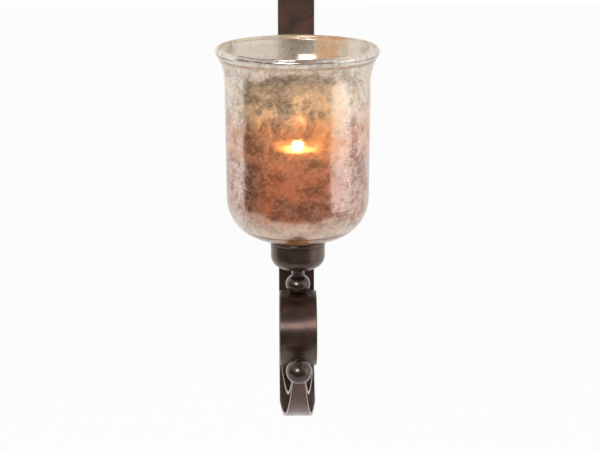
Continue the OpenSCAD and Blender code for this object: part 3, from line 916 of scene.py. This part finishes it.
def candle_wax():
    """Ivory wax with a painted glow that stands in for the flame's light in it, strongest round the flame
    and less and less down the candle.
    """
    f = Finish("candle_wax")
    runs = f.noise(9 * mm, 4, 0.55, 0.3, f.stretched((1, 1, 0.35)))
    grain = f.noise(1.5 * mm, 4, 0.6)
    colour = f.ramp(runs, (0.3, (0.62, 0.44, 0.27)), (0.7, (0.76, 0.60, 0.41)))
    flame_foot = f.node("ShaderNodeCombineXYZ", {}, {0: 0.0, 1: -axis_d, 2: pool_z})
    ends = {0: f.place, 1: flame_foot}
    away = f.node("ShaderNodeVectorMath", {"operation": "DISTANCE"}, ends, "Value")
    reach = candle_top - candle_z
    # painted light: the wax emits a glow for the flame's light, brightest at the flame's foot and fading
    # down the candle
    painted_wax_glow = f.ramp(
        away / reach,
        (0.0, (1.0, 0.82, 0.44)), (0.17, (0.95, 0.66, 0.30)), (0.25, (0.30, 0.16, 0.066)),
        (0.32, (0.122, 0.058, 0.023)), (0.6, (0.094, 0.043, 0.016)), (1.0, (0.058, 0.026, 0.010)),
    )
    normal = f.bump(runs + 0.3 * grain, 0.6 * mm, 0.4)
    wax = f.principled(
        Base_Color=colour, Roughness=0.38 + 0.2 * runs, Normal=normal,
        Emission_Color=painted_wax_glow, Emission_Strength=6.5,
    )
    return f.show(wax)


def make_candle(tree, finish):
    """A pillar with eased edges and a shallow pool in its top."""
    edge, base, pool_slope = 4 * mm, 3 * mm, 8 * mm
    outline = [(0, candle_z)] + arc((candle_r - base, candle_z + base), base, -90, 0, 6)
    side = spaced(candle_z + base, candle_top - edge, 14)[1:-1]
    outline += [(candle_r, z) for z in side]
    outline += arc((candle_r - edge, candle_top - edge), edge, 0, 90, 10)
    outline += arc((pool_r, candle_top), pool_depth, 0, -90, 8)[1:]
    outline += [(pool_r - pool_slope, pool_z), (0, pool_z)]
    candle = turned("pillar_candle", outline, tree, finish)
    stands_for(level_faces(candle), "candle", "wax", "candle")


def make_flame(tree):
    """A still flame on the wick, hottest at its foot and soft at its sides."""
    f = Finish("flame")
    rise = f.place.part("Z").between(pool_z, pool_z + flame_h)
    heat = f.ramp(
        rise, (0.0, (1.0, 0.90, 0.64)), (0.3, (1.0, 0.90, 0.62)), (1.0, (1.0, 0.58, 0.20))
    )
    flicker = f.noise(6 * mm, 2)
    light = f.principled(
        Base_Color=(0.0, 0.0, 0.0), Roughness=1.0,
        Emission_Color=f.blend(0.2 * flicker, heat, (1.0, 0.8, 0.5)), Emission_Strength=85.0,
    )
    air = f.node("ShaderNodeBsdfTransparent", {}, {})
    facing = f.node("ShaderNodeLayerWeight", {}, {"Blend": 0.5}, "Facing")
    body = (1 - facing) * (1 - 0.96 * rise.between(0.02, 0.34))
    finish = f.show(f.shader_mix(body.between(0.1, 0.9), air, light))
    outline = []
    for i in range(FLAME_STEPS + 1):
        k = i / FLAME_STEPS
        belly = math.sin(math.pi * k ** 0.36) ** 0.9
        outline.append((flame_r * belly * (1 - 0.35 * k), pool_z + flame_h * k))
    flame = turned("candle_flame", outline, tree, finish, 48)
    stands_for(flame, "candle", "wax")


def make_flame_light():
    """The light that the flame throws on the film. It isn't seen itself, and moves with the candle."""
    data = bpy.data.lights.new("flame_light", "POINT")
    data.energy = 0.055
    data.shadow_soft_size = 12 * mm
    data.color = (1.0, 0.76, 0.54)
    lamp = bpy.data.objects.new("flame_light", data)
    bpy.context.collection.objects.link(lamp)
    lamp.location = (0, -axis_d, pool_z + 16 * mm)
    lamp.visible_glossy = False
    lamp.visible_transmission = False
    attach(lamp, "candle")


def charred_cotton():
    """A wick that is pale where it stands in the wax and black above it."""
    f = Finish("charred_cotton")
    lit = f.place.part("Z").between(candle_top, candle_top + 9 * mm)
    braid = f.noise(0.5 * mm, 3, 0.6, 0, f.stretched((1, 1, 0.4)))
    colour = f.blend(lit, (0.45, 0.36, 0.24), (0.012, 0.010, 0.009))
    surface = f.principled(
        Base_Color=f.blend(0.5 * braid, colour, (0.05, 0.03, 0.02)), Roughness=0.85,
        Normal=f.bump(braid, 0.2 * mm, 0.8),
    )
    return f.show(surface)


def dress_cad(node, finish):
    """Gives a CAD node that is shown as it is its own finish."""
    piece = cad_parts[node]
    piece.data.materials.clear()
    piece.data.materials.append(finish)


# ---------------------------------------------------------------- stage and light

LAMPS_FACE_Z = -0.12


def make_stage():
    """A plain pale floor well below the sconce, white where the camera looks."""
    floor_z = wall_low.z - 0.35
    side, front, back = 1.6, -0.7, 6.0
    mesh = bpy.data.meshes.new("floor")
    corners = ((-side, front), (side, front), (side, back), (-side, back))
    mesh.from_pydata([(x, y, floor_z) for x, y in corners], [], [(0, 1, 2, 3)])
    floor = bpy.data.objects.new("floor", mesh)
    bpy.context.collection.objects.link(floor)
    f = Finish("pale_floor")
    white = f.node("ShaderNodeEmission", {}, {"Color": (1, 1, 1, 1), "Strength": 1.0})
    plain = f.principled(Base_Color=(0.82, 0.81, 0.80), Roughness=0.8)
    behind = f.place.part("Y").between(-0.15, 0.15)
    floor.data.materials.append(f.show(f.shader_mix(0.93 * f.seen(behind), plain, white)))


def make_world():
    """White where the camera looks, with a white wall side behind the object and a dim room before it."""
    world = bpy.data.worlds.new("studio")
    bpy.context.scene.world = world
    world.use_nodes = True
    s = Nodes(world.node_tree)
    way = s.node("ShaderNodeTexCoord", {}, {}, "Generated")
    across, wall_side = way.part("X"), way.part("Y").between(0.10, 0.15)
    # the room is dim in front and lighter high up on both sides, most of all on the right
    aside = across.maths("ABSOLUTE", across).between(0.15, 0.55) * (0.88 + 0.20 * across)
    high = way.part("Z").between(0.0, 0.4)
    front = 0.17 + 0.06 * across + (0.08 + 0.62 * aside) * high
    bright = front.maths("MAXIMUM", front, wall_side)
    room = s.ramp(bright, (0, (0, 0, 0)), (1, (0.97, 0.96, 0.96)))
    lit = s.node("ShaderNodeBackground", {}, {"Color": room, "Strength": 1.0})
    white = s.node("ShaderNodeBackground", {}, {"Color": (1, 1, 1, 1), "Strength": 1.0})
    shown = s.shader_mix(s.seen(wall_side), lit, white)
    output = s.tree.nodes.new("ShaderNodeOutputWorld")
    s.tree.links.new(shown.socket, output.inputs["Surface"])


def softbox(name, azimuth, elevation, distance, wide, high, brightness):
    """A soft white lamp that faces the glass. Azimuth 0 is straight in front and 90 is on the right."""
    a, e = math.radians(azimuth), math.radians(elevation)
    way = Vector((math.sin(a) * math.cos(e), -math.cos(a) * math.cos(e), math.sin(e)))
    data = bpy.data.lights.new(name, "AREA")
    data.shape = "RECTANGLE"
    data.size, data.size_y = wide, high
    data.energy = brightness * math.pi * wide * high
    lamp = bpy.data.objects.new(name, data)
    bpy.context.collection.objects.link(lamp)
    lamp.location = Vector((0, -axis_d, LAMPS_FACE_Z)) + way * distance
    lamp.rotation_euler = way.to_track_quat("Z", "Y").to_euler()


def make_lights():
    softbox("key", azimuth=-17, elevation=19, distance=1.8, wide=0.80, high=0.52, brightness=13.0)
    softbox("side", azimuth=73, elevation=0, distance=1.7, wide=1.25, high=1.15, brightness=1.32)


bpy.context.scene.view_settings.view_transform = "Standard"
make_camera()
make_stage()
make_world()
make_lights()

bar_bronze = aged_bronze(
    "bar_bronze", dark=(0.038, 0.023, 0.019), brown=(0.160, 0.078, 0.053),
    dull=0.33, wax=0.9, wax_dull=0.24, brushed=0.8,
)
turned_bronze = aged_bronze(
    "turned_bronze", dark=(0.034, 0.024, 0.021), brown=(0.110, 0.066, 0.050),
    dull=0.24, wax=0.75, wax_dull=0.10,
)
spun_bronze = aged_bronze(
    "spun_bronze", dark=(0.034, 0.023, 0.018), brown=(0.125, 0.076, 0.053),
    dull=0.32, wax=0.6, wax_dull=0.22,
)
zinc = dull_zinc()
seal = matt_seal()
turning = turning_tree()
bar_tree = drawn_bar_tree()
make_bars(bar_tree, bar_bronze)
make_ball(turning, turned_bronze)
make_neck(turning, turned_bronze)
make_cup(turning, spun_bronze)
make_glass(turning, clear_glass(), silvered_film())
make_candle(turning, candle_wax())
make_flame(turning)
make_flame_light()

dress_cad("standoff", turned_bronze)
dress_cad("lip_gasket", seal)
dress_cad("wick", charred_cotton())
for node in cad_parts:
    if node.split("_")[-1] in ("screw", "washer", "nut", "rod", "clip"):
        dress_cad(node, zinc)
